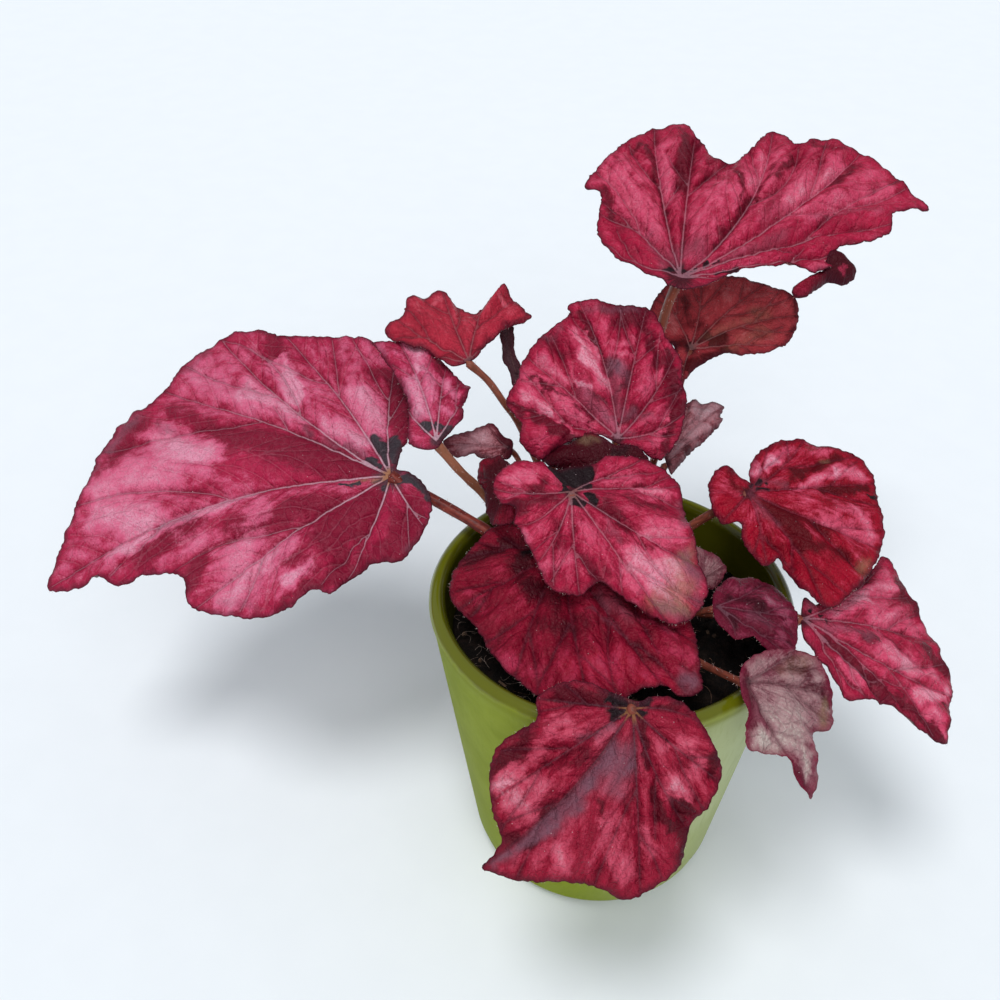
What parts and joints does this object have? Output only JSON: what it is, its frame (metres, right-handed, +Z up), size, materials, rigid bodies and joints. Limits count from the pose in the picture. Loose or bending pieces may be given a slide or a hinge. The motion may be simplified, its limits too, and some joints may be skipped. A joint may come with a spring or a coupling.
{
  "type": "potted rex begonia",
  "caption": "Rex begonia with large crimson and silver leaves on long bent stems, growing from a short rhizome in peaty soil in a tapered green glazed pot.",
  "frame": {"origin": "on the pot's axis, in the flat face that it stands on", "axes": "+Z up, +Y away from the picture's camera, +X to the picture's right"},
  "size_m": [0.344, 0.2707, 0.2309],
  "materials": {
    "leaf_crimson": "satin",
    "leaf_red": "satin",
    "leaf_dark": "satin",
    "leaf_dull_red": "satin",
    "leaf_silver": "satin",
    "leaf_withered": "matte",
    "stem": "satin",
    "rhizome": "matte",
    "soil": "matte",
    "pot_glaze": "gloss"
  },
  "bodies": {
    "root": {"leaf_left_large": "leaf_crimson", "leaf_left_upper": "leaf_crimson", "leaf_back_left": "leaf_red", "leaf_withered": "leaf_withered", "leaf_centre_high": "leaf_crimson", "leaf_centre_front": "leaf_dark", "leaf_low_front": "leaf_dull_red", "leaf_front": "leaf_crimson", "leaf_right_high": "leaf_red", "leaf_right_low": "leaf_crimson", "leaf_right_small": "leaf_silver", "leaf_silver": "leaf_silver", "leaf_top_right": "leaf_crimson", "leaf_top_shaded": "leaf_dull_red", "leaf_behind_right": "leaf_dull_red", "leaf_inner_left": "leaf_dull_red", "leaf_curled_left": "leaf_dull_red", "leaf_young": "leaf_silver", "stem_left_large": "stem", "stem_left_upper": "stem", "stem_back_left": "stem", "stem_withered": "stem", "stem_centre_high": "stem", "stem_centre_front": "stem", "stem_low_front": "stem", "stem_front": "stem", "stem_right_high": "stem", "stem_right_low": "stem", "stem_right_small": "stem", "stem_silver": "stem", "stem_top_right": "stem", "stem_top_shaded": "stem", "stem_behind_right": "stem", "stem_inner_left": "stem", "stem_curled_left": "stem", "stem_young": "stem", "rhizome": "rhizome", "soil": "soil", "pot": "pot_glaze"}
  },
  "joints": []
}
